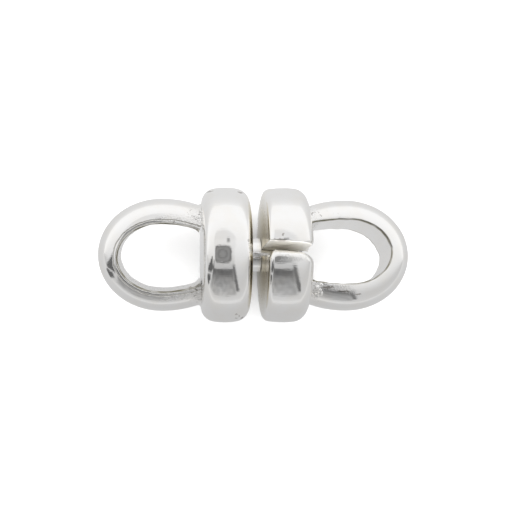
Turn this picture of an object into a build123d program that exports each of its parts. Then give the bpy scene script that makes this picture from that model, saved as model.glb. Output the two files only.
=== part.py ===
"""Silver swivel connector: two crowned discs on one headed pin, each with a soldered oval eye.

The swivel axis lies along X, the plain half at -X and the split half at +X. The piece lies on the rims of
its two discs, with its origin under the middle of the gap, at the height of the surface. Both halves are
drawn pointing to +X, with the swivel axis at Z = 0, and are turned and lifted last. Sizes are in
millimetres and angles in degrees.
"""

import os
from math import sqrt

from build123d import *

# Both discs
disc_diameter = 10.4
disc_thickness = 3.5
disc_edge_radius = 1.1
disc_crown_radius = 5.0
disc_gap = 0.93

# Both eyes. Their lengths run from the disc's outer face, and closing is how far a leg comes in at the disc
eye_reach_to_widest = 3.14
eye_tip_beyond_widest = 4.89
eye_width = 8.62
eye_closing = 0.6
eye_depth = 4.0
eye_outer_flat = 0.25
eye_tip_wall = 1.62
eye_side_wall = 1.76
hole_closing = 0.22
hole_edge_radius = 0.12
eye_root_depth = 0.5
solder_corner_radius = 0.6

# Headed pin
pin_diameter = 2.6
pin_seat_depth = 1.7
neck_diameter = 1.9
neck_length = 2.05
head_diameter = 2.9
head_thickness = 0.75
head_edge_radius = 0.15

# Clearances
seat_clearance = 0.01
running_clearance = 0.06
end_clearance = 0.06

# Slot of the split disc
slot_width = 0.66
slot_lip_radius = 0.12

# How far each half is turned about the swivel axis where it lies
plain_half_turn = 3.5
split_half_turn = -8.0

# How far a cutting shape runs past the metal that it cuts
cut_past = 0.5

# Two places closer than this count as one
same_place = 0.001

disc_radius = disc_diameter / 2
inner_face_x = disc_gap / 2
outer_face_x = inner_face_x + disc_thickness
widest_x = outer_face_x + eye_reach_to_widest


def disc_section():
    """Half section of a disc, above the axis: two flat faces, rounded edges and a slightly crowned rim."""
    middle_x = (inner_face_x + outer_face_x) / 2
    edge_offset = disc_thickness / 2 - disc_edge_radius
    crown_centre = disc_radius - disc_crown_radius
    centre_distance = disc_crown_radius - disc_edge_radius
    face_radius = crown_centre + sqrt(centre_distance**2 - edge_offset**2)
    stretch = disc_crown_radius / centre_distance
    crown_offset = edge_offset * stretch
    crown_radius_there = crown_centre + (face_radius - crown_centre) * stretch
    inner_corner = (inner_face_x, face_radius)
    outer_corner = (outer_face_x, face_radius)
    crown_start = (middle_x - crown_offset, crown_radius_there)
    crown_end = (middle_x + crown_offset, crown_radius_there)
    outline = [
        Line((inner_face_x, 0), inner_corner),
        TangentArc(inner_corner, crown_start, tangent=(0, 1)),
        ThreePointArc(crown_start, (middle_x, disc_radius), crown_end),
        TangentArc(outer_corner, crown_end, tangent=(0, 1)),
        Line(outer_corner, (outer_face_x, 0)),
        Line((outer_face_x, 0), (inner_face_x, 0)),
    ]
    return Face(Wire(outline))


def oval(tip_reach, half_width, closing, start_x):
    """Oval outline: half an ellipse at the tip, and a longer one that comes in by closing at the disc."""
    width_left = (half_width - closing) / half_width
    disc_side_reach = eye_reach_to_widest / sqrt(1 - width_left**2)
    back = widest_x - start_x
    tip_half = Ellipse(tip_reach, half_width) & Pos(tip_reach / 2, 0) * Rectangle(tip_reach, 2 * half_width)
    disc_half = Ellipse(disc_side_reach, half_width) & Pos(-back / 2, 0) * Rectangle(back, 2 * half_width)
    return Pos(widest_x, 0) * (tip_half + disc_half)


def slab(outline, depth):
    """Solid of an outline in the XY plane, as deep above it as below."""
    return Pos(0, 0, -depth / 2) * extrude(outline, depth)


def eye():
    """Oval eye of half-round wire. Its root lies in the disc, and solder rounds the hole's two corners."""
    root_x = outer_face_x - eye_root_depth
    half_width = eye_width / 2
    wire = slab(oval(eye_tip_beyond_widest, half_width, eye_closing, root_x), eye_depth)
    flat_edges = wire.edges().group_by(Axis.Z)
    long_edges = flat_edges[0] + flat_edges[-1]
    outer_edges = long_edges.filter_by(lambda edge: edge.center().X > outer_face_x)
    wire = fillet(outer_edges, (eye_depth - eye_outer_flat) / 2)
    hole_tip = eye_tip_beyond_widest - eye_tip_wall
    hole = oval(hole_tip, half_width - eye_side_wall, hole_closing, outer_face_x)
    hole = fillet(hole.vertices().group_by(Axis.X)[0], solder_corner_radius)
    hole_cut = slab(hole, eye_depth + 2 * cut_past)
    pierced = wire - hole_cut
    rim = new_edges(wire, hole_cut, combined=pierced).filter_by(on_hole_rim)
    return fillet(rim, hole_edge_radius)


def on_hole_rim(edge):
    """True for an edge round the hole on either side of the eye, away from the disc's face."""
    middle = edge.center()
    off_middle_plane = abs(middle.Z) > eye_depth / 4
    return off_middle_plane and middle.X > outer_face_x + same_place


def round_bar(diameter, start_x, end_x):
    """Cylinder about the X axis between two places on it."""
    return Pos((start_x + end_x) / 2, 0, 0) * Rot(0, 90, 0) * Cylinder(diameter / 2, end_x - start_x)


def blank_half():
    """Disc and eye as one solid, before it is drilled."""
    return revolve(disc_section(), Axis.X) + eye()


def plain_half():
    """Half that carries the pin in a blind seat, pointing to -X and turned as it lies."""
    seat_end = inner_face_x + pin_seat_depth + seat_clearance
    seat = round_bar(pin_diameter + 2 * seat_clearance, inner_face_x - cut_past, seat_end)
    half = mirror(blank_half() - seat, about=Plane.YZ)
    return Rot(plain_half_turn, 0, 0) * half


def slot_cut():
    """Block that opens the disc from the axis to past its rim."""
    length = disc_thickness + 2 * cut_past
    height = disc_radius + cut_past
    return Pos((inner_face_x + outer_face_x) / 2, 0, height / 2) * Box(length, slot_width, height)


def on_slot_lip(edge):
    """True for an edge of the slot on the disc's faces and rim, outside the pocket for the head."""
    middle = edge.center()
    beside_slot = abs(abs(middle.Y) - slot_width / 2) < same_place
    return beside_slot and middle.Z > head_diameter / 2 + running_clearance + slot_lip_radius


def split_half():
    """Half that turns: bore for the neck, pocket for the head, and a slot that opens both to the rim."""
    bore = round_bar(neck_diameter + 2 * running_clearance, inner_face_x - cut_past, outer_face_x)
    pocket_x = inner_face_x + neck_length
    pocket = round_bar(head_diameter + 2 * running_clearance, pocket_x, outer_face_x + cut_past)
    half = blank_half() - bore - pocket - slot_cut()
    half = fillet(half.edges().filter_by(on_slot_lip), slot_lip_radius)
    return Rot(split_half_turn, 0, 0) * half


def swivel_pin():
    """Turned pin: shank and collar of one diameter, a thinner neck and a round head."""
    collar_end = inner_face_x - end_clearance
    head_start = inner_face_x + neck_length + end_clearance
    pin = round_bar(pin_diameter, -inner_face_x - pin_seat_depth, collar_end)
    pin += round_bar(neck_diameter, collar_end, head_start)
    pin += round_bar(head_diameter, head_start, head_start + head_thickness)
    head_rim = pin.edges().filter_by(GeomType.CIRCLE).group_by(Axis.X)[-1]
    return fillet(head_rim, head_edge_radius)


def main():
    os.makedirs("parts", exist_ok=True)
    lift = Pos(0, 0, disc_radius)
    export_step(lift * plain_half(), "parts/plain_half.step")
    export_step(lift * split_half(), "parts/split_half.step")
    export_step(lift * swivel_pin(), "parts/swivel_pin.step")


main()
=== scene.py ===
"""Looks of the silver swivel connector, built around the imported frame.

Shapes are worked out in millimetres and scaled to metres when a mesh is made. Each half is drawn pointing to
+X with the swivel axis at Z = 0, as the metal was made, and is then mirrored, turned and lifted to its place.
Angles are in degrees where a size is named and in radians inside the functions.
"""

import random
from collections import namedtuple
from math import asin, atan2, cos, pi, radians, sin, sqrt, tan

import bmesh
import bpy
import numpy as np
from mathutils import Matrix, Vector, noise
from mathutils.bvhtree import BVHTree


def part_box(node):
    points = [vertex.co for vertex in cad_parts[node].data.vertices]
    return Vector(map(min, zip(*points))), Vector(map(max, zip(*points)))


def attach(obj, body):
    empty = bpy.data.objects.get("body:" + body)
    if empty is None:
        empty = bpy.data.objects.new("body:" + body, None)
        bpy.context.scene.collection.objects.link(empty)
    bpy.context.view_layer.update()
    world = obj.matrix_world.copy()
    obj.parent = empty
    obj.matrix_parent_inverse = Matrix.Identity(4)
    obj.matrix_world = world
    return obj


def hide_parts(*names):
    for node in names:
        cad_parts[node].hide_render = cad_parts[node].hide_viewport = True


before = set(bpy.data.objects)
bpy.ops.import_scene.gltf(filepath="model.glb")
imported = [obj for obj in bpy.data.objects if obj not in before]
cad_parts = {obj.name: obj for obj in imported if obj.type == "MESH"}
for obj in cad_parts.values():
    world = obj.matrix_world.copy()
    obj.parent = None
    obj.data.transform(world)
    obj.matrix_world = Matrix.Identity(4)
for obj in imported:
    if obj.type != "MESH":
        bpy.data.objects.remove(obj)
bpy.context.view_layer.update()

MM = 0.001

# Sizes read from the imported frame
_, plain_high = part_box("plain_half")
split_low, split_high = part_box("split_half")
pin_low, pin_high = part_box("swivel_pin")
disc_radius = plain_high.z / MM / 2
inner_face_x = split_low.x / MM
tip_x = split_high.x / MM
seat_depth = (plain_high.x - pin_low.x) / MM
head_end_x = pin_high.x / MM
head_radius = (pin_high.z - pin_low.z) / MM / 2

# Discs
disc_thickness = 3.5
plain_disc_growth = 0.15
disc_edge_radius = 1.1
disc_crown_radius = 5.0

# Inner face of the split disc: flat round the bore, and falling back to a crisper edge at the rim
hub_radius = 1.6
inner_face_fall = 0.15
split_inner_edge_radius = 0.5
split_crown_radius = 8.0

# Slot. Its lips are rounded, the front one more, and both more at the outer face. They fade at the pocket
slot_width = 0.66
slot_slant = 0.07
slot_off_centre = 0.12
back_wall_growth = 0.05
back_lip_radius = 0.12
front_lip_radius = 0.55
outer_corner_growth = 0.2
inner_corner_growth = 0.35
inner_corner_depth = 1.4
lip_fade_length = 0.48
least_lip_share = 0.02

# How far each half is turned about the swivel axis as it lies
plain_half_turn = 3.5
split_half_turn = -8.0

# Eyes
eye_reach_to_widest = 3.14
eye_width = 8.62
eye_closing = 0.6
eye_depth = 4.0
eye_outer_flat = 0.25
hole_edge_radius = 0.12
eye_root_depth = 0.45

# Solder round the roots of an eye, and its beads: where they lie, and how they are formed
solder_reach_outside = 0.35
solder_reach_inside = 0.6
bead_from_face = 0.1
bead_from_middle = (2.35, 3.3)
bead_lowest = 1.0
bead_size_shares = (0.5, 1.0)
bead_flatness = 0.7
bead_lumpiness = 0.25
bead_lumps = 1.3
bead_sink = 0.35

# Lines that a file left along the hole of the plain eye: distance outwards from its edge, and half width
top_lines = ((0.13, 0.05), (0.34, 0.06))
wall_lines = ((-0.45, 0.14), (-1.3, 0.3))

# Pin
pin_radius = 1.3
neck_radius = 0.95
neck_length = 2.05
head_edge_radius = 0.15
running_clearance = 0.06
seat_clearance = 0.01

# Fineness of the meshes: steps round a full turn, steps along an arc or run, and what is shaded as an edge
disc_columns = 256
slotted_columns = 236
pin_columns = 128
edge_steps = 26
crown_steps = 22
lip_steps = 9
wire_steps = 33
hole_edge_steps = 6
hole_wall_steps = 8
root_steps = 34
root_run = 1.6
between_roots_steps = 200
merge_distance = 1e-8
sharp_edge_angle = 35

outer_face_x = inner_face_x + disc_thickness
plain_face_x = outer_face_x + plain_disc_growth
widest_x = outer_face_x + eye_reach_to_widest
pocket_x = inner_face_x + neck_length
pocket_radius = head_radius + running_clearance
far_from_hole = eye_width

# What differs between the two halves, which were made by hand. The hole's closing is how far each side of it
# comes in at the disc, and its wander is how far its edge strays. Grain, dents and the painted shade along
# the hole's edge are shares up to 1
Hole = namedtuple("Hole", "tip_wall side_wall closing off_centre wander")
Beads = namedtuple("Beads", "side seed count reach size")
Half = namedtuple("Half", "face_x hole beads seed grain_beside_hole lip_dents edge_dirt filed sawn")
plain_form = Half(
    face_x=plain_face_x,
    hole=Hole(tip_wall=1.62, side_wall=1.80, closing=0.65, off_centre=-0.15, wander=0.03),
    beads=(
        Beads(side=1, seed=11, count=12, reach=0.9, size=0.13),
        Beads(side=-1, seed=12, count=12, reach=0.9, size=0.13),
    ),
    seed=3,
    grain_beside_hole=0.7,
    lip_dents=0,
    edge_dirt=1.0,
    filed=True,
    sawn=False,
)
split_form = Half(
    face_x=outer_face_x,
    hole=Hole(tip_wall=1.72, side_wall=1.86, closing=0.30, off_centre=0, wander=0.06),
    beads=(
        Beads(side=1, seed=21, count=3, reach=0.4, size=0.10),
        Beads(side=-1, seed=22, count=9, reach=0.9, size=0.26),
    ),
    seed=8,
    grain_beside_hole=0.2,
    lip_dents=0.3,
    edge_dirt=0.9,
    filed=False,
    sawn=True,
)


def soft_step(value, edge, softness):
    """0 below an edge and 1 above it, with a smooth change between."""
    share = np.clip((value - edge) / (2 * softness) + 0.5, 0, 1)
    return share * share * (3 - 2 * share)


def between(value, low, high, softness):
    """1 between two edges and 0 outside them, with soft borders."""
    return soft_step(value, low, softness) * (1 - soft_step(value, high, softness))


def linked(name, data):
    """Object that shows a mesh, lamp or camera in the scene."""
    shown = bpy.data.objects.new(name, data)
    bpy.context.scene.collection.objects.link(shown)
    return shown


def make_mesh(name, points, faces):
    """Closed mesh object from points in millimetres and faces as point numbers, facing outwards."""
    mesh = bpy.data.meshes.new(name)
    mesh.from_pydata((np.asarray(points) * MM).tolist(), [], faces)
    shape = bmesh.new()
    shape.from_mesh(mesh)
    bmesh.ops.remove_doubles(shape, verts=shape.verts, dist=merge_distance)
    bmesh.ops.recalc_face_normals(shape, faces=shape.faces)
    shape.to_mesh(mesh)
    shape.free()
    return linked(name, mesh)


def grid_faces(rows, columns):
    """Four-sided faces between the points of a grid, whose columns close into a ring."""
    faces = []
    for row in range(rows - 1):
        for column in range(columns):
            next_column = (column + 1) % columns
            faces.append((
                row * columns + column,
                row * columns + next_column,
                (row + 1) * columns + next_column,
                (row + 1) * columns + column,
            ))
    return faces


def arc_run(centre, radius, start, end, steps):
    """Points along an arc, and the way out of the metal at each. Angles are in radians."""
    angles = np.linspace(start, end, steps + 1)
    outward = np.stack([np.cos(angles), np.sin(angles)], axis=1)
    return np.asarray(centre) + radius * outward, outward


def straight_run(start, end, steps, outward):
    """Points along a straight line, and the same way out of the metal at each."""
    shares = np.linspace(0, 1, steps + 1)[:, None]
    points = np.asarray(start) + shares * (np.asarray(end) - np.asarray(start))
    return points, np.tile(np.asarray(outward, float), (steps + 1, 1))


def joined(runs):
    """One list of points and outward directions from runs that meet end to end."""
    points = [runs[0][0][:1]] + [run[0][1:] for run in runs]
    outward = [runs[0][1][:1]] + [run[1][1:] for run in runs]
    return np.concatenate(points), np.concatenate(outward)


def turned_mesh(name, section, columns, lift):
    """Body turned round the X axis from points (x, radius), and then lifted."""
    angle = np.tile(np.arange(columns) * 2 * pi / columns, len(section))
    x = np.repeat(section[:, 0], columns)
    radius = np.repeat(section[:, 1], columns)
    points = np.stack([x, radius * np.sin(angle), radius * np.cos(angle) + lift], axis=1)
    return make_mesh(name, points, grid_faces(len(section), columns))


def swept_mesh(name, rings):
    """Body through closed sections with the same number of points each, capped at both ends."""
    count = len(rings[0])
    faces = grid_faces(len(rings), count)
    faces.append(tuple(range(count)))
    faces.append(tuple(range((len(rings) - 1) * count, len(rings) * count)))
    return make_mesh(name, np.concatenate(rings), faces)


def corner(crown_radius, edge_radius, side_room):
    """Where a disc's rounded edge starts on its face: the radius there, and the turn from there to the crown.

    side_room is how far the centre of the edge's arc lies from the middle of the disc along X.
    """
    centre_distance = crown_radius - edge_radius
    height = disc_radius - crown_radius + sqrt(centre_distance**2 - side_room**2)
    return height, asin(side_room / centre_distance)


def rim_runs(face_x, crown_radius, inner_edge_radius, inner_fall):
    """Section of a disc from its inner face over the crowned rim to its outer face, as points (x, radius)."""
    middle_x = (inner_face_x + face_x) / 2
    half_thickness = (face_x - inner_face_x) / 2
    upright = pi / 2
    inner_room = half_thickness - inner_fall - inner_edge_radius
    outer_room = half_thickness - disc_edge_radius
    inner_height, inner_lean = corner(crown_radius, inner_edge_radius, inner_room)
    outer_height, outer_lean = corner(crown_radius, disc_edge_radius, outer_room)
    face_slope = atan2(inner_fall, inner_height - hub_radius)
    crown_centre = (middle_x, disc_radius - crown_radius)
    inner_centre = (middle_x - inner_room, inner_height)
    outer_centre = (middle_x + outer_room, outer_height)
    return [
        arc_run(inner_centre, inner_edge_radius, pi - face_slope, upright + inner_lean, edge_steps),
        arc_run(crown_centre, crown_radius, upright + inner_lean, upright - outer_lean, crown_steps),
        arc_run(outer_centre, disc_edge_radius, upright - outer_lean, 0, edge_steps),
    ]


def plain_disc():
    """Undivided disc with a blind seat for the pin, turned round the X axis."""
    seat_radius = pin_radius + seat_clearance
    seat_end = inner_face_x + seat_depth + seat_clearance
    rim = rim_runs(plain_face_x, disc_crown_radius, disc_edge_radius, 0)
    section, _ = joined([
        straight_run((seat_end, 0), (seat_end, seat_radius), 2, (-1, 0)),
        straight_run((seat_end, seat_radius), (inner_face_x, seat_radius), 6, (0, -1)),
        straight_run((inner_face_x, seat_radius), rim[0][0][0], 12, (-1, 0)),
        *rim,
        straight_run(rim[-1][0][-1], (plain_face_x, 0), 16, (1, 0)),
    ])
    return turned_mesh("plain_disc", section, disc_columns, 0)


def split_section():
    """Closed section of the slotted disc with its bore and pocket, and the way out at each point."""
    bore_radius = neck_radius + running_clearance
    rim = rim_runs(outer_face_x, split_crown_radius, split_inner_edge_radius, inner_face_fall)
    section, outward = joined([
        straight_run((inner_face_x, bore_radius), (inner_face_x, hub_radius), 3, (-1, 0)),
        straight_run((inner_face_x, hub_radius), rim[0][0][0], 14, rim[0][1][0]),
        *rim,
        straight_run(rim[-1][0][-1], (outer_face_x, pocket_radius), 14, (1, 0)),
        straight_run((outer_face_x, pocket_radius), (pocket_x, pocket_radius), 8, (0, -1)),
        straight_run((pocket_x, pocket_radius), (pocket_x, bore_radius), 3, (1, 0)),
        straight_run((pocket_x, bore_radius), (inner_face_x, bore_radius), 12, (0, -1)),
    ])
    return section[:-1], outward[:-1]


def slot_lips(x, radius):
    """How far the slot's lips are rounded over at places on the disc: the back one, and the front one twice.

    The front lip has two sizes, because it goes less deep than far at the corner of the inner face.
    """
    clear_of_pocket = np.clip((radius - pocket_radius) / lip_fade_length, least_lip_share, 1)
    growth = outer_corner_growth * soft_step(x, outer_face_x - disc_edge_radius / 2, 0.5)
    at_inner_corner = 1 - soft_step(x, inner_face_x + split_inner_edge_radius, 0.4)
    at_inner_corner *= soft_step(radius, disc_radius - inner_corner_depth, 0.5)
    back_lip = (back_lip_radius + growth) * clear_of_pocket
    front_depth = (front_lip_radius + growth) * clear_of_pocket
    front_lip = front_depth + inner_corner_growth * at_inner_corner
    return back_lip, front_lip, front_depth


def slot_slant_at(x):
    """How far the slanted slot has strayed sideways at a place along X."""
    return slot_slant * (x - (inner_face_x + outer_face_x) / 2)


def lip_rings(section, outward, wall, lip, depth):
    """Sections that round a lip of the slot over from its wall, by the wall's place and the lip's sizes."""
    rings = []
    for angle in np.linspace(0, pi / 2, lip_steps + 1):
        sunk = section - (depth * (1 - sin(angle)))[:, None] * outward
        beside = wall + lip * (1 - cos(angle))
        height = np.sqrt(np.maximum(sunk[:, 1]**2 - beside**2, 0))
        rings.append(np.stack([sunk[:, 0], beside, height], axis=1))
    return rings


def split_disc():
    """Slotted disc: its section is swept from one wall of the slot round to the other, with rounded lips."""
    section, outward = split_section()
    x, radius = section.T
    back_lip, front_lip, front_depth = slot_lips(x, radius)
    slant = slot_slant_at(x)
    back_wall = slot_width / 2 - back_wall_growth - slot_off_centre - slant
    front_wall = slot_width / 2 + slot_off_centre + slant
    first_angle = np.arcsin((back_wall + back_lip) / radius)
    last_angle = 2 * pi - np.arcsin((front_wall + front_lip) / radius)
    rings = lip_rings(section, outward, back_wall, back_lip, back_lip)
    for step in range(1, slotted_columns):
        angle = first_angle + (last_angle - first_angle) * step / slotted_columns
        rings.append(np.stack([x, radius * np.sin(angle), radius * np.cos(angle)], axis=1))
    for ring in lip_rings(section, outward, front_wall, front_lip, front_depth)[::-1]:
        rings.append(ring * (1, -1, 1))
    return swept_mesh("split_disc", rings)


def disc_side_reach(half_width, closing):
    """Reach along X of an oval's disc side, which is half an ellipse that closes by so much at the disc."""
    width_left = (half_width - closing) / half_width
    return eye_reach_to_widest / sqrt(1 - width_left**2)


def hole_oval(hole):
    """Half width of the oval of an eye's hole, and its reaches along X on the disc side and at the tip."""
    half_width = eye_width / 2 - hole.side_wall
    return half_width, disc_side_reach(half_width, hole.closing), tip_x - hole.tip_wall - widest_x


def eye_outline(root_x):
    """Points along the eye's outline from one root round the tip to the other, and the way out at each."""
    half_width = eye_width / 2
    disc_side = disc_side_reach(half_width, eye_closing)
    tip_side = tip_x - widest_x
    start = asin((widest_x - root_x) / disc_side)
    fine_steps = 2000
    fine = np.concatenate([
        np.linspace(-start, 0, fine_steps, endpoint=False),
        np.linspace(0, pi, 2 * fine_steps, endpoint=False),
        np.linspace(pi, pi + start, fine_steps),
    ])
    on_tip = (fine >= 0) & (fine <= pi)
    reach = np.where(on_tip, tip_side, disc_side)
    points = np.stack([widest_x + reach * np.sin(fine), half_width * np.cos(fine)], axis=1)
    outward = np.stack([np.sin(fine) / reach, np.cos(fine) / half_width], axis=1)
    outward /= np.linalg.norm(outward, axis=1)[:, None]
    walked = np.concatenate([[0], np.cumsum(np.linalg.norm(np.diff(points, axis=0), axis=1))])
    places = np.concatenate([
        np.linspace(0, root_run, root_steps, endpoint=False),
        np.linspace(root_run, walked[-1] - root_run, between_roots_steps, endpoint=False),
        np.linspace(walked[-1] - root_run, walked[-1], root_steps + 1),
    ])
    picked = [np.interp(places, walked, values) for values in (*points.T, *outward.T)]
    return np.stack(picked[:2], axis=1), np.stack(picked[2:], axis=1)


def wall_to_hole(points, outward, hole):
    """Thickness of the eye's wire at each point of its outline, straight in to the hole's own oval."""
    half_width, disc_side, tip_side = hole_oval(hole)
    near = np.zeros(len(points))
    far = np.full(len(points), 2 * hole.side_wall)
    halvings = 40
    for _ in range(halvings):
        middle = (near + far) / 2
        place = points - middle[:, None] * outward
        reach = np.where(place[:, 0] > widest_x, tip_side, disc_side)
        across = (place[:, 1] - hole.off_centre) / half_width
        outside = ((place[:, 0] - widest_x) / reach)**2 + across**2 > 1
        near = np.where(outside, middle, near)
        far = np.where(outside, far, middle)
    return near


def wander(points, amount, seed):
    """How far handwork strays at each point: a slow noise that is different for each seed."""
    scale = 1.1
    return amount * np.array([noise.noise(Vector((scale * x, scale * y, seed))) for x, y in points[:, :2]])


def wire_section(thickness):
    """Closed half-round section of the eye's wire, as four rows: depth, height, and two parts of the way out.

    Depth goes from the eye's outline in to the hole. The way out is away from the hole, and up.
    """
    fillet = (eye_depth - eye_outer_flat) / 2
    shoulder = thickness - hole_edge_radius
    angles = np.linspace(0, np.arccos(1 - shoulder / fillet), wire_steps + 1)
    height = eye_outer_flat / 2 + fillet * np.sin(angles)
    edge_angles = np.linspace(pi / 2, 0, hole_edge_steps + 1)[1:]
    edge_depth = shoulder + hole_edge_radius * np.cos(edge_angles)
    edge_height = height[-1] - hole_edge_radius * (1 - np.sin(edge_angles))
    wall_height = np.linspace(edge_height[-1], 0, hole_wall_steps + 1)[1:-1]
    ones = np.ones(len(wall_height))
    upper = np.concatenate([
        [fillet * (1 - np.cos(angles)), height, np.cos(angles), np.sin(angles)],
        [edge_depth, edge_height, -np.cos(edge_angles), np.sin(edge_angles)],
        [thickness * ones, wall_height, -ones, 0 * ones],
    ], axis=1)
    middle = np.array([thickness, 0, -1, 0])[:, None]
    lower = upper[:, ::-1] * np.array([1, -1, 1, -1])[:, None]
    return np.concatenate([upper, middle, lower], axis=1)


def eye(form):
    """Oval eye of half-round wire, flared into solder where its two roots meet the disc."""
    outline, outward = eye_outline(outer_face_x - eye_root_depth)
    wall = wall_to_hole(outline, outward, form.hole) + wander(outline, form.hole.wander, form.seed)
    rings = []
    for place, out, thickness in zip(outline, outward, wall):
        depth, height, side_out, side_up = wire_section(thickness)
        flat = place[None, :] - depth[:, None] * out[None, :]
        faces_hole = side_out < -0.5
        reach = np.where(faces_hole, solder_reach_inside, solder_reach_outside)
        share = np.clip(1 - (flat[:, 0] - form.face_x) / reach, 0, 1)
        flare = reach * (1 - np.sqrt(1 - share**2))
        y = flat[:, 1] + flare * side_out * np.sign(place[1])
        z = height + flare * side_up
        rings.append(np.stack([flat[:, 0], y, z], axis=1))
    return swept_mesh("eye", rings)


def fused(name, pieces):
    """One solid from several that overlap, which are used up."""
    whole = pieces[0]
    for part in pieces[1:]:
        union = whole.modifiers.new("union", "BOOLEAN")
        union.operation = "UNION"
        union.solver = "MANIFOLD"
        union.object = part
    graph = bpy.context.evaluated_depsgraph_get()
    mesh = bpy.data.meshes.new_from_object(whole.evaluated_get(graph))
    for part in pieces:
        bpy.data.objects.remove(part)
    mesh.name = name
    mesh.materials.clear()
    return linked(name, mesh)


def bead(place, radius, drift):
    """Flat and lumpy bead of solder, a little sunk in the metal. Drift gives each bead other lumps."""
    shape = bmesh.new()
    bmesh.ops.create_icosphere(shape, subdivisions=3, radius=radius * MM)
    for vert in shape.verts:
        lumpy = 1 + bead_lumpiness * noise.noise(vert.co / (radius * MM) * bead_lumps + drift)
        vert.co *= lumpy
        vert.co.z *= bead_flatness
        vert.co += place - Vector((0, 0, bead_sink * radius * MM))
    mesh = bpy.data.meshes.new("bead")
    shape.to_mesh(mesh)
    shape.free()
    return linked("bead", mesh)


def beads_of_solder(half, form, run):
    """Beads that ran out of one root of the eye, on its upper side."""
    tree = BVHTree.FromObject(half, bpy.context.evaluated_depsgraph_get())
    chance = random.Random(run.seed)
    beads = []
    for number in range(run.count):
        x = form.face_x + chance.uniform(bead_from_face, run.reach)
        y = run.side * chance.uniform(*bead_from_middle)
        radius = run.size * chance.uniform(*bead_size_shares)
        hit = tree.ray_cast(Vector((x, y, disc_radius)) * MM, Vector((0, 0, -1)))[0]
        if hit is not None and hit.z >= bead_lowest * MM:
            beads.append(bead(hit, radius, Vector((number, run.seed, 0))))
    return beads


def swivel_pin():
    """Turned pin: shank and collar, thinner neck, and a round head with a broken edge."""
    start_x = -inner_face_x - seat_depth
    collar_end = inner_face_x - running_clearance
    head_start = pocket_x + running_clearance
    edge_x = head_end_x - head_edge_radius
    edge_height = head_radius - head_edge_radius
    section, _ = joined([
        straight_run((start_x, 0), (start_x, pin_radius), 2, (-1, 0)),
        straight_run((start_x, pin_radius), (collar_end, pin_radius), 24, (0, 1)),
        straight_run((collar_end, pin_radius), (collar_end, neck_radius), 2, (1, 0)),
        straight_run((collar_end, neck_radius), (head_start, neck_radius), 16, (0, 1)),
        straight_run((head_start, neck_radius), (head_start, head_radius), 3, (-1, 0)),
        straight_run((head_start, head_radius), (edge_x, head_radius), 6, (0, 1)),
        arc_run((edge_x, edge_height), head_edge_radius, pi / 2, 0, 6),
        straight_run((head_end_x, edge_height), (head_end_x, 0), 6, (1, 0)),
    ])
    return turned_mesh("pin_silver", section, pin_columns, disc_radius)


def mesh_points(piece):
    """Points of a piece's mesh in millimetres."""
    points = np.zeros(len(piece.data.vertices) * 3)
    piece.data.vertices.foreach_get("co", points)
    return points.reshape(-1, 3) / MM


def place_mesh(piece, move):
    """Moves the points of a piece by a function of them in millimetres, and keeps its faces outwards."""
    mesh = piece.data
    points = move(mesh_points(piece)) * MM
    mesh.vertices.foreach_set("co", points.ravel())
    shape = bmesh.new()
    shape.from_mesh(mesh)
    bmesh.ops.recalc_face_normals(shape, faces=shape.faces)
    shape.to_mesh(mesh)
    shape.free()


def smooth_shading(piece):
    """Shades a piece smooth, apart from its sharp edges."""
    mesh = piece.data
    mesh.polygons.foreach_set("use_smooth", [True] * len(mesh.polygons))
    mesh.set_sharp_from_angle(angle=radians(sharp_edge_angle))
    mesh.update()


def turned_and_lifted(points, turn):
    """Turns points about the swivel axis by an angle in degrees, and lifts them off the surface."""
    x, y, z = points.T
    angle = radians(turn)
    turned_points = [x, y * cos(angle) - z * sin(angle), y * sin(angle) + z * cos(angle)]
    return np.stack(turned_points, axis=1) + (0, 0, disc_radius)


def to_plain_side(points):
    """Mirrors a half to -X, and turns and lifts it as it lies."""
    return turned_and_lifted(points * (-1, 1, 1), plain_half_turn)


def to_split_side(points):
    """Turns and lifts a half as it lies."""
    return turned_and_lifted(points, split_half_turn)


def tarnish_and_shade_of_half(points, form):
    """How far the metal is darkened: on the facing discs as tarnish where polish doesn't reach and as painted
    shade that deepens towards the pin, and in the bore as tarnish.
    """
    x, y, z = points.T
    radius = np.hypot(y, z)
    depth = 0.3
    polished_rim = 0.45
    shade_fade = 0.6
    shade_fade_radius = 3.8
    round_head = 0.15
    inside_disc = 1 - soft_step(x, form.face_x - depth, 0.1)
    facing = 1 - soft_step(x, inner_face_x + depth, 0.2)
    facing *= 1 - soft_step(radius, disc_radius - polished_rim, 0.3)
    # Painted shade: the facing discs are drawn darker towards the pin, where shade falls between them, and
    # lighter towards the rim
    shade_towards_pin = 1 - shade_fade * soft_step(radius, shade_fade_radius, 1.0)
    hidden = (1 - soft_step(radius, head_radius + round_head, 0.05)) * inside_disc
    return np.maximum(facing * shade_towards_pin, hidden)


def sawn_of_half(points, form):
    """Walls of the slot as the saw left them: duller, and not yet as dark as the facing discs."""
    x, y, z = points.T
    past_face = 0.1
    past_wall = 0.01
    in_disc = 1 - soft_step(x, form.face_x + past_face, 0.1)
    from_middle = np.abs(y + slot_off_centre + slot_slant_at(x))
    in_slot = 1 - soft_step(from_middle, slot_width / 2 + past_wall, 0.02)
    return form.sawn * in_slot * soft_step(z, head_radius, 0.2) * in_disc


def hole_distance(points, form):
    """Distance from the edge of the eye's hole: outwards above zero, and down its wall below zero."""
    x, y, z = points.T
    slack = 0.01
    near_wall = 0.15
    past_face = 0.05
    half_width, disc_side, tip_side = hole_oval(form.hole)
    reach = np.where(x > widest_x, tip_side, disc_side)
    sideways = (x - widest_x) / reach
    across = (y - form.hole.off_centre) / half_width
    level = np.hypot(sideways, across)
    slope = np.hypot(sideways / reach, across / half_width) / np.maximum(level, slack)
    outwards = (level - 1) / slope
    below_edge = np.maximum(eye_depth / 2 - hole_edge_radius - slack - np.abs(z), 0)
    distance = np.where(outwards < near_wall, outwards - below_edge, outwards)
    return np.where(x > form.face_x + past_face, distance, far_from_hole)


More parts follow.
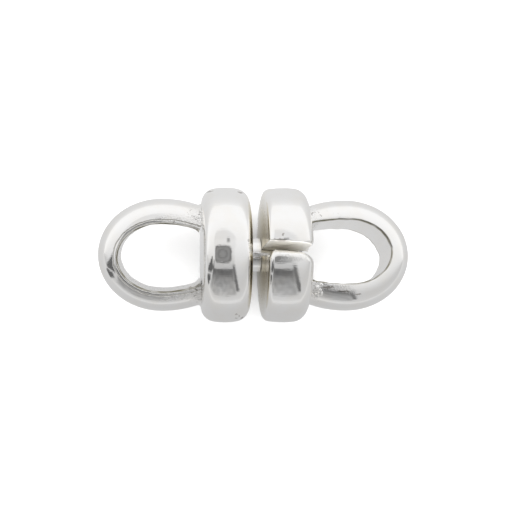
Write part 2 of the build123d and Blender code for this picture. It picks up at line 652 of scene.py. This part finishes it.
def dents_beside_slot(points):
    """Where the front lip of the slot is dented, along the crown of the disc."""
    x, y, z = points.T
    dented_x = (1.3, 3.3)
    dented_y = (-1.25, -0.5)
    lowest = 4.4
    return between(x, *dented_x, 0.3) * between(y, *dented_y, 0.15) * soft_step(z, lowest, 0.1)


def grain_of_half(points, form, from_hole):
    """How grainy the metal is: where solder ran at the eye's roots, and in patches along the hole's edge."""
    past_face = points[:, 0] - form.face_x
    solder_run = 0.8
    patches_end = 3.2
    beyond_face = soft_step(past_face, 0.02, 0.02)
    inner_side = 1 - soft_step(np.abs(points[:, 1]), eye_width / 2 - solder_run, 0.5)
    near_root = 1 - soft_step(past_face, solder_run + wander(points, 0.5, form.seed), 0.35)
    along_hole = between(from_hole, 0.1, 0.75, 0.2) * (1 - soft_step(past_face, patches_end, 0.8))
    on_eye = beyond_face * np.maximum(near_root * inner_side, form.grain_beside_hole * along_hole)
    return np.maximum(on_eye, form.lip_dents * dents_beside_slot(points))


def satin_of_half(points, form, from_hole):
    """Where the polish is softer: the eye, and most of all the wall of its hole."""
    past_face = points[:, 0] - form.face_x
    on_wall = 1 - soft_step(from_hole, -0.1, 0.1)
    eye_share = 0.45
    return soft_step(past_face, 0.05, 0.05) * (eye_share + (1 - eye_share) * on_wall)


def painted_edge_shade_of_half(points, form, from_hole):
    """Painted shade along the edge of the eye's hole: a dark line, thinner in places."""
    along_edge = between(from_hole, -0.1, 0.09, 0.03)
    thin = 0.5
    thickness = thin + (1 - thin) * soft_step(wander(points, 1.0, form.seed + 20), -0.05, 0.3)
    return form.edge_dirt * along_edge * thickness


def set_half_masks(half, form):
    """Stores where a half is tarnished and carries painted shade, sawn, grainy and satin, where shade is
    painted along the edge of its hole, and how far its file lines are.

    The polished metal reads these values at the points of the mesh.
    """
    points = mesh_points(half)
    from_hole = hole_distance(points, form)
    masks = {
        "tarnish": tarnish_and_shade_of_half(points, form),
        "sawn": sawn_of_half(points, form),
        "grain": grain_of_half(points, form, from_hole),
        "satin": satin_of_half(points, form, from_hole),
        "edge_dirt": painted_edge_shade_of_half(points, form, from_hole),
        "from_hole": from_hole if form.filed else np.full(len(points), far_from_hole),
    }
    for name, values in masks.items():
        attribute = half.data.attributes.new(name, "FLOAT", "POINT")
        attribute.data.foreach_set("value", values)


def silver_half(name, disc, form, move):
    """One half: disc and eye fused, with beads of solder, masks for its material, and in its place."""
    half = fused(name, [disc, eye(form)])
    beads = []
    for run in form.beads:
        beads += beads_of_solder(half, form, run)
    half = fused(name, [half, *beads])
    set_half_masks(half, form)
    place_mesh(half, move)
    return half


def node_maker(material):
    """Function that adds a node with its settings and inputs to a material.

    An input goes by its label, with _ for a space, or by i and its number.
    """
    tree = material.node_tree

    def add(kind, settings=None, **inputs):
        node = tree.nodes.new(kind)
        for name, value in (settings or {}).items():
            setattr(node, name, value)
        for name, value in inputs.items():
            number = name[1:]
            socket = node.inputs[int(number)] if number.isdigit() else node.inputs[name.replace("_", " ")]
            if isinstance(value, bpy.types.NodeSocket):
                tree.links.new(value, socket)
            else:
                socket.default_value = value
        return node

    return add


def calculated(add, operation, first, second=0.0, third=0.0):
    """Result of a sum, product or the like."""
    return add("ShaderNodeMath", {"operation": operation}, i0=first, i1=second, i2=third).outputs[0]


def vector_result(add, operation, first, second, third=(0, 0, 0)):
    """Result of a sum, product or the like of vectors."""
    return add("ShaderNodeVectorMath", {"operation": operation}, i0=first, i1=second, i2=third).outputs[0]


def ramp(add, value, low, high):
    """Share from 0 to 1 as a value goes from low to high."""
    smooth = {"interpolation_type": "SMOOTHSTEP"}
    return add("ShaderNodeMapRange", smooth, Value=value, From_Min=low, From_Max=high).outputs["Result"]


def fading(add, distance, near, far):
    """Share from 1 to 0 as a distance goes from near to far."""
    return ramp(add, calculated(add, "MULTIPLY", distance, -1.0), -far, -near)


def blended(add, share, first, second):
    """Colour between two by a share."""
    return add("ShaderNodeMix", {"data_type": "RGBA"}, i0=share, i6=first, i7=second).outputs[2]


def noise_at(add, place, scale, detail, roughness=0.5):
    """Noise with so many waves to the millimetre."""
    inputs = {"Vector": place, "Scale": scale, "Detail": detail, "Roughness": roughness}
    return add("ShaderNodeTexNoise", None, **inputs).outputs["Fac"]


def stretched(add, place, shares):
    """Place with each axis scaled, so that a pattern is drawn out along the axes with small shares."""
    return vector_result(add, "MULTIPLY", place, shares)


def mask(add, name):
    """Values that are stored at the points of a mesh."""
    return add("ShaderNodeAttribute", {"attribute_name": name}).outputs["Fac"]


def bumped(add, height, depth, strength=1.0, under=None):
    """Surface direction with a relief of a depth in millimetres, laid over another relief if one is given."""
    inputs = {"Strength": strength, "Distance": depth * MM, "Height": height}
    if under is not None:
        inputs["Normal"] = under
    return add("ShaderNodeBump", None, **inputs).outputs[0]


def base_metal(name, roughness):
    """Metal with its roughness on its own socket, its shader, its node maker, and place in millimetres."""
    material = bpy.data.materials.new(name)
    material.use_nodes = True
    shader = material.node_tree.nodes["Principled BSDF"]
    shader.inputs["Metallic"].default_value = 1.0
    shader.inputs["Roughness"].default_value = roughness
    add = node_maker(material)
    place = add("ShaderNodeTexCoord").outputs["Object"]
    in_mm = add("ShaderNodeVectorMath", {"operation": "SCALE"}, Vector=place, Scale=1 / MM).outputs[0]
    return material, shader, add, in_mm


def link_shader(material, shader, sources):
    """Links what was worked out to the shader's sockets, which are given by label."""
    for label, source in sources.items():
        material.node_tree.links.new(source, shader.inputs[label])


# Colours of the metal, of what lies on it, and of the shade painted on it
clean_silver = (0.965, 0.961, 0.955, 1)
warm_silver = (0.955, 0.940, 0.915, 1)
sawn_silver = (0.95, 0.93, 0.88, 1)
# The two tarnished colours are tarnish on the facing discs, and also painted shade there
tarnished_and_shaded_silver = (0.86, 0.81, 0.69, 1)
dark_tarnish_and_shade = (0.62, 0.58, 0.46, 1)
# Painted shade along the edge of the eye's hole
painted_edge_shade_colour = (0.26, 0.24, 0.17, 1)
pit_colour = (0.25, 0.22, 0.19, 1)

# How little of the sawn metal reflects as a mirror does, how much shade is painted in the file lines, and how
# much dirt lies in pits
sawn_dullness = 0.8
painted_shade_in_lines = 0.6
dirt_in_pits = 0.7

# How far the border of a mark and the course of a file line stray
mark_stray = 0.3
line_stray = 0.16

# Marks on the metal: the middle and half size of each in millimetres, and how dark it is. The first seven are
# on the plain half, the next six on the split half, and the last two on the pin
marks = (
    ((-3.45, 4.72, 6.70), (0.45, 0.12, 0.50), 0.75),
    ((-1.20, 4.65, 7.25), (0.35, 0.09, 0.50), 0.70),
    ((-1.05, -4.80, 6.80), (0.20, 0.15, 0.55), 0.95),
    ((-0.86, 0.95, 10.00), (0.09, 0.18, 0.40), 0.45),
    ((-1.55, -4.42, 7.70), (0.15, 0.08, 0.30), 0.45),
    ((-1.34, -4.60, 7.50), (0.07, 0.14, 0.30), 0.45),
    ((-1.50, -4.78, 7.20), (0.15, 0.08, 0.30), 0.45),
    ((1.63, 1.38, 10.20), (0.08, 0.13, 0.40), 0.60),
    ((1.40, 1.00, 10.15), (0.75, 0.10, 0.50), 0.65),
    ((4.85, -2.75, 7.00), (0.08, 0.07, 0.40), 0.90),
    ((5.35, -2.45, 7.48), (0.55, 0.09, 0.50), 0.70),
    ((6.50, -2.74, 7.50), (0.55, 0.08, 0.50), 0.75),
    ((7.67, -2.97, 7.40), (0.30, 0.10, 0.40), 0.60),
    ((0.13, -0.22, 6.50), (0.32, 0.05, 0.40), 0.80),
    ((0.05, 0.08, 6.50), (0.26, 0.04, 0.40), 0.60),
)


def all_marks(add, place):
    """Small dark marks, each with a ragged border."""
    ragged = add("ShaderNodeTexNoise", None, Vector=place, Scale=4.0, Detail=3.0).outputs["Color"]
    shift = vector_result(add, "MULTIPLY_ADD", ragged, [mark_stray] * 3, [-mark_stray / 2] * 3)
    strayed = vector_result(add, "ADD", place, shift)
    total = None
    for middle, half_size, darkness in marks:
        away = vector_result(add, "SUBTRACT", strayed, middle)
        shares = vector_result(add, "DIVIDE", away, half_size)
        length = add("ShaderNodeVectorMath", {"operation": "LENGTH"}, i0=shares).outputs["Value"]
        inside = calculated(add, "MULTIPLY", fading(add, length, 0.5, 1.0), darkness)
        total = inside if total is None else calculated(add, "MAXIMUM", total, inside)
    return total


def file_lines(add, distance, lines):
    """Depth of the lines that a file left, from 0 to 1, by the distance from the edge of the eye's hole."""
    total = None
    for at, half_width in lines:
        off = calculated(add, "ABSOLUTE", calculated(add, "SUBTRACT", distance, at))
        depth = fading(add, off, 0.0, half_width)
        total = depth if total is None else calculated(add, "ADD", total, depth)
    return total


def polished_colour(add, place, blotches, specks, top_filed):
    """Colour of the polished metal, with its tarnish and painted shade, sawn walls, pits, marks, and painted
    shade along the eye's hole.
    """
    clean = blended(add, ramp(add, blotches, 0.35, 0.7), clean_silver, warm_silver)
    # Tarnish and painted shade on the facing discs
    tarnished_and_shaded = blended(add, ramp(add, specks, 0.45, 0.75), tarnished_and_shaded_silver, dark_tarnish_and_shade)
    metal = blended(add, mask(add, "tarnish"), clean, tarnished_and_shaded)
    metal = blended(add, mask(add, "sawn"), metal, sawn_silver)
    pits = ramp(add, noise_at(add, place, 5.5, 2.0), 0.62, 0.68)
    pits = calculated(add, "MULTIPLY", pits, mask(add, "grain"))
    spots = calculated(add, "MAXIMUM", calculated(add, "MULTIPLY", pits, dirt_in_pits), all_marks(add, place))
    metal = blended(add, spots, metal, pit_colour)
    # Painted shade: dark lines along the eye's hole, in its file lines and at its edge
    shaded_file_lines = calculated(add, "MULTIPLY", top_filed, painted_shade_in_lines)
    painted_line_shade = calculated(add, "MAXIMUM", mask(add, "edge_dirt"), shaded_file_lines)
    return blended(add, painted_line_shade, metal, painted_edge_shade_colour)


def polished_roughness(add, blotches, lines):
    """Roughness of the polished metal: uneven, and more where it is tarnished, grainy, sawn or satin."""
    rough = calculated(add, "MULTIPLY_ADD", blotches, 0.03, 0.025)
    for share, amount in (
        (mask(add, "tarnish"), 0.26),
        (mask(add, "grain"), 0.08),
        (mask(add, "sawn"), 0.45),
        (mask(add, "satin"), 0.10),
        (ramp(add, lines, 0.5, 0.75), 0.04),
    ):
        rough = calculated(add, "ADD", rough, calculated(add, "MULTIPLY", share, amount))
    return rough


def polished_relief(add, place, specks, lines, filed):
    """Relief of the polished metal in layers: waves, dents, polish lines, file lines, grain and tarnish."""
    relief = None
    for height, depth, strength in (
        (noise_at(add, place, 0.9, 1.5), 0.0030, 1.0),
        (noise_at(add, place, 3.0, 2.0), 0.0022, 1.0),
        (lines, 0.0028, 1.0),
        (calculated(add, "MULTIPLY", filed, -1.0), 0.04, 1.0),
        (specks, 0.06, mask(add, "grain")),
        (specks, 0.006, mask(add, "tarnish")),
    ):
        relief = bumped(add, height, depth, strength, relief)
    return relief


def polished_silver():
    """Hand-polished silver: fine lines, soft waves, grainy solder, tarnish where polish doesn't reach, and
    painted shade between the discs and along the eye's hole.
    """
    material, shader, add, place = base_metal("polished_silver", 0.08)
    blotches = noise_at(add, place, 0.8, 3.0)
    specks = noise_at(add, place, 9.0, 4.0, 0.65)
    lines = noise_at(add, stretched(add, place, (0.4, 9.0, 9.0)), 1.0, 3.0, 0.6)
    stray = calculated(add, "MULTIPLY_ADD", noise_at(add, place, 1.5, 2.0), line_stray, -line_stray / 2)
    from_hole = calculated(add, "ADD", mask(add, "from_hole"), stray)
    top_filed = file_lines(add, from_hole, top_lines)
    filed = calculated(add, "ADD", top_filed, file_lines(add, from_hole, wall_lines))
    link_shader(material, shader, {
        "Metallic": calculated(add, "MULTIPLY_ADD", mask(add, "sawn"), -sawn_dullness, 1.0),
        "Base Color": polished_colour(add, place, blotches, specks, top_filed),
        "Roughness": polished_roughness(add, blotches, lines),
        "Normal": polished_relief(add, place, specks, lines, filed),
    })
    return material


def turned_silver():
    """Silver turned on a lathe: fine rings round the swivel axis, and small dark marks."""
    material, shader, add, place = base_metal("turned_silver", 0.12)
    rings = noise_at(add, stretched(add, place, (16.0, 0.4, 0.4)), 1.0, 4.0, 0.7)
    blotches = noise_at(add, place, 2.2, 3.0)
    clean = blended(add, ramp(add, blotches, 0.45, 0.75), clean_silver, warm_silver)
    link_shader(material, shader, {
        "Base Color": blended(add, all_marks(add, place), clean, pit_colour),
        "Roughness": calculated(add, "MULTIPLY_ADD", rings, 0.12, 0.05),
        "Normal": bumped(add, rings, 0.004),
    })
    return material


# Camera, looking down on the swivel from a little towards the plain half. Its aim is in millimetres
camera_distance = 62.0
camera_lean_left = 3.64
camera_lean_back = -1.0
camera_roll = -0.11
camera_shift = 0.05
camera_aim = (-1.852, -0.081)
pixels_per_mm = 12.935
picture_width = 512
sensor_width = 36.0

# Studio. The surround and the reflected floor are in millimetres, and the lamp is in metres
studio_radius = 400.0
floor_half = 400.0
nearest_floor_ring = 0.3
reflected_floor_height = 0.02
floor_colour = (0.9, 0.9, 0.9, 1)
sky_strength = 1.45
lamp_place = Vector((-0.05, 0.08, 0.32))
lamp_size = 0.3
lamp_power = 0.8


def add_camera():
    """Camera at the photograph's angle, whose frame is shifted a little because the picture was cropped."""
    data = bpy.data.cameras.new("camera")
    data.sensor_width = sensor_width
    data.lens = sensor_width * camera_distance * pixels_per_mm / picture_width
    data.shift_x = camera_shift
    data.clip_start = MM
    camera = linked("camera", data)
    away = Vector((-tan(radians(camera_lean_left)), tan(radians(camera_lean_back)), 1)).normalized()
    up = Vector((sin(radians(camera_roll)), cos(radians(camera_roll)), 0))
    right = up.cross(away).normalized()
    facing = Matrix((right, away.cross(right), away)).transposed().to_4x4()
    place = Vector((*camera_aim, disc_radius)) + away * camera_distance
    camera.matrix_world = Matrix.Translation(place * MM) @ facing
    bpy.context.scene.camera = camera


# Places in the surround are angles in degrees: about the swivel axis, with 0 overhead and minus in front, and
# along it, with minus at the left. Borders are as soft as the last number given to them, in the same degrees.
# Levels of light go from 0 to about 1


def mixed(light, other, share):
    """Light replaced by another by a share from 0 to 1."""
    return light + (other - light) * share


def room_light(about):
    """Light of the plain room by the angle about the swivel axis: brightest behind, dimmer in front."""
    angles = (-92, -86, -80, -72, -55, -40, -25, -10, 5, 20, 40, 65, 85, 95)
    levels = (0.64, 0.74, 0.63, 0.60, 0.58, 0.58, 0.64, 0.74, 0.82, 0.88, 0.94, 0.99, 0.98, 0.95)
    return np.interp(about, angles, levels)


def grey_dome(light, about, along):
    """Adds a pale grey dome behind the square overhead."""
    top = 42 - 0.03 * (along + 6)**2
    dome = between(about, 12, top, 4) * between(along, -28, 14, 4)
    return mixed(light, 0.74, 0.8 * dome)


def grey_card(light, about, along):
    """Adds a grey card in front, dark at its top, narrower at its foot and smudged."""
    heights = (-73, -62, -47, -36, -29, -24)
    levels = (0.47, 0.40, 0.31, 0.20, 0.145, 0.145)
    left = np.interp(about, (-72, -15), (-50, -34))
    right = 8 - 0.1 * about
    card = between(about, -73, -10, 2.5) * between(along, left, right, 2)
    smudges = np.array([noise.noise(Vector((a / 5, b / 9, 0))) for a, b in zip(along, about)])
    return mixed(light, np.interp(about, heights, levels) * (1 + 0.3 * smudges), card)


def dark_square(light, about, along):
    """Adds a dark rounded square overhead, with a darker ring in it and a bright frame round it."""
    bright_frame = between(about, -24, 25, 1.5) * between(along, -29, 13, 1.5)
    light = mixed(light, np.interp(about, (-20, 0, 20), (0.52, 0.72, 0.80)), bright_frame)
    middle_about, half_height = 0.5, 14.5
    middle_along, half_width = -7.5, 15.5
    across = (about - middle_about) / half_height
    sideways = (along - middle_along) / half_width
    from_middle = (np.abs(across)**4 + np.abs(sideways)**4)**0.25
    ring = between(np.hypot(across, sideways), 0.38, 0.58, 0.1)
    border = between(from_middle, 0.82, 1.1, 0.1)
    return mixed(light, 0.27 - 0.11 * border - 0.07 * ring, 1 - soft_step(from_middle, 1.0, 0.1))


def dark_slit(light, about, along):
    """Adds a thin dark slit to the right of the card, leaning with the card's side."""
    middle = 9 - 0.13 * about
    half_width = 2.2
    slit = between(about, -66, -18, 2.5) * between(along, middle - half_width, middle + half_width, 1.2)
    return mixed(light, 0.11, 0.9 * slit)


def wedge_share(up, back):
    """Share of a dark wedge at the left, level with the swivel, by two parts of a unit direction."""
    lean = 0.31
    level = back + lean * up
    levels = (-0.51, -0.43, -0.345, -0.18, -0.09, -0.01, 0.08, 0.17)
    middle = np.interp(level, levels, (0.0, 0.12, 0.16, 0.41, 0.55, 0.59, 0.66, 0.72))
    half_width = np.interp(level, levels, (0.03, 0.20, 0.21, 0.24, 0.22, 0.13, 0.07, 0.03))
    light_gap = between(level, -0.31, -0.25, 0.01)
    inside = 1 - soft_step(np.abs(up - middle) - half_width, 0, 0.05)
    return inside * between(level, -0.52, 0.18, 0.02) * (1 - light_gap)


def dark_wedge(light, about, along):
    """Adds the dark wedge at the left."""
    level = np.cos(np.radians(along))
    wedge = wedge_share(level * np.cos(np.radians(about)), level * np.sin(np.radians(about)))
    return mixed(light, 0.10, 0.95 * wedge * (1 - soft_step(along, -20, 2)))


def dark_mark(light, about, along):
    """Adds a small dark mark behind the square's right corner."""
    mark = between(about, 20, 27, 1.5) * between(along, 0, 5, 1.5)
    return mixed(light, 0.25, 0.85 * mark)


def surround_light(about, along):
    """Light of the surround: the plain room, and what stands in it, from the first added to the last."""
    light = room_light(about)
    for added in (grey_dome, grey_card, dark_square, dark_slit, dark_wedge, dark_mark):
        light = added(light, about, along)
    return light


def floor_light(x, y):
    """Light of the floor as the metal sees it, by place in millimetres, with the swivel's own soft shadow."""
    distance = np.hypot(x, y) + 0.001
    far = soft_step(np.log10(distance), 1.8, 0.7)
    backwards = y / distance
    near_light = 0.65 + 0.11 * backwards
    far_light = 0.76 + 0.15 * backwards
    light = mixed(near_light, far_light, far)
    shadow = 0.6 * np.exp(-(y / 3.0)**2) * between(x, -3.4, 3.4, 0.6)
    return light * (1 - shadow)


def wedge_on_floor(light, x, y):
    """Adds the foot of the dark wedge to the floor, as it is seen from the left disc's edge."""
    edge_x, edge_y, edge_z = -4, -1, 9.5
    from_edge = np.sqrt((x - edge_x)**2 + (y - edge_y)**2 + edge_z**2)
    wedge = wedge_share(-edge_z / from_edge, (y - edge_y) / from_edge) * (1 - soft_step(x, -14, 4))
    return mixed(light, 0.12, 0.9 * wedge)


def shining(name):
    """Material that shines with the light stored at the points of a mesh."""
    material = bpy.data.materials.new(name)
    material.use_nodes = True
    material.cycles.emission_sampling = "NONE"
    material.node_tree.nodes.clear()
    add = node_maker(material)
    colour = add("ShaderNodeAttribute", {"attribute_name": "light"}).outputs["Color"]
    surface = add("ShaderNodeEmission", None, Color=colour).outputs[0]
    add("ShaderNodeOutputMaterial", None, Surface=surface)
    return material


def lit_mesh(name, points, rows, columns, light):
    """Grid mesh that only reflections see, and that shines with a light given at each of its points."""
    mesh = bpy.data.meshes.new(name)
    mesh.from_pydata((points * MM).tolist(), [], grid_faces(rows, columns))
    colours = mesh.color_attributes.new("light", "FLOAT_COLOR", "POINT")
    values = np.stack([light, light, light, np.ones(len(light))], axis=1)
    colours.data.foreach_set("color", values.ravel())
    screen = linked(name, mesh)
    screen.visible_camera = False
    screen.visible_diffuse = False
    screen.visible_shadow = False
    mesh.materials.append(shining(name))


def add_surround():
    """Large sphere round the swivel that its metal reflects. Its poles lie on the swivel axis."""
    along, about = np.meshgrid(np.arange(-90, 91), np.arange(-180, 180), indexing="ij")
    rows, columns = along.shape
    along = along.ravel().astype(float)
    about = about.ravel().astype(float)
    outwards = np.stack([
        np.sin(np.radians(along)),
        np.cos(np.radians(along)) * np.sin(np.radians(about)),
        np.cos(np.radians(along)) * np.cos(np.radians(about)),
    ], axis=1)
    points = studio_radius * outwards + (0, 0, disc_radius)
    lit_mesh("surround", points, rows, columns, surround_light(about, along))


def add_reflected_floor():
    """Floor as the metal sees it, in rings that lie closer together near the swivel."""
    rows = 90
    columns = 120
    radii = np.geomspace(nearest_floor_ring, floor_half, rows)
    angles = np.arange(columns) * 2 * pi / columns
    x = np.outer(radii, np.cos(angles)).ravel()
    y = np.outer(radii, np.sin(angles)).ravel()
    points = np.stack([x, y, np.full(len(x), reflected_floor_height)], axis=1)
    lit_mesh("reflected_floor", points, rows, columns, wedge_on_floor(floor_light(x, y), x, y))


def add_floor():
    """Plain pale floor for the camera."""
    mesh = bpy.data.meshes.new("floor")
    half = floor_half * MM
    corners = [(-half, -half, 0), (half, -half, 0), (half, half, 0), (-half, half, 0)]
    mesh.from_pydata(corners, [], [(0, 1, 2, 3)])
    floor = linked("floor", mesh)
    floor.visible_glossy = False
    material = bpy.data.materials.new("floor")
    material.use_nodes = True
    shader = material.node_tree.nodes["Principled BSDF"]
    shader.inputs["Base Color"].default_value = floor_colour
    shader.inputs["Roughness"].default_value = 1.0
    shader.inputs["Specular IOR Level"].default_value = 0.0
    mesh.materials.append(material)


def add_lights():
    """Pale sky all round, and one large soft light above for the floor."""
    world = bpy.data.worlds.new("world")
    world.use_nodes = True
    sky = world.node_tree.nodes["Background"]
    sky.inputs["Color"].default_value = (1.0, 1.0, 1.0, 1)
    sky.inputs["Strength"].default_value = sky_strength
    bpy.context.scene.world = world
    light = bpy.data.lights.new("overhead", "AREA")
    light.size = lamp_size
    light.energy = lamp_power
    lamp = linked("overhead", light)
    lamp.location = lamp_place
    lamp.rotation_euler = (-lamp_place).to_track_quat("-Z", "Y").to_euler()
    lamp.visible_camera = False
    lamp.visible_glossy = False


plain = silver_half("plain_silver", plain_disc(), plain_form, to_plain_side)
split = silver_half("split_silver", split_disc(), split_form, to_split_side)
pin = swivel_pin()

polished = polished_silver()
turned = turned_silver()
for piece, node, body, slot, material in (
    (plain, "plain_half", "plain_side", "polished_silver", polished),
    (split, "split_half", "split_side", "polished_silver", polished),
    (pin, "swivel_pin", "plain_side", "turned_silver", turned),
):
    smooth_shading(piece)
    piece.data.materials.append(material)
    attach(piece, body)
    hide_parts(node)

add_camera()
add_surround()
add_reflected_floor()
add_floor()
add_lights()
bpy.context.scene.view_settings.view_transform = "Standard"
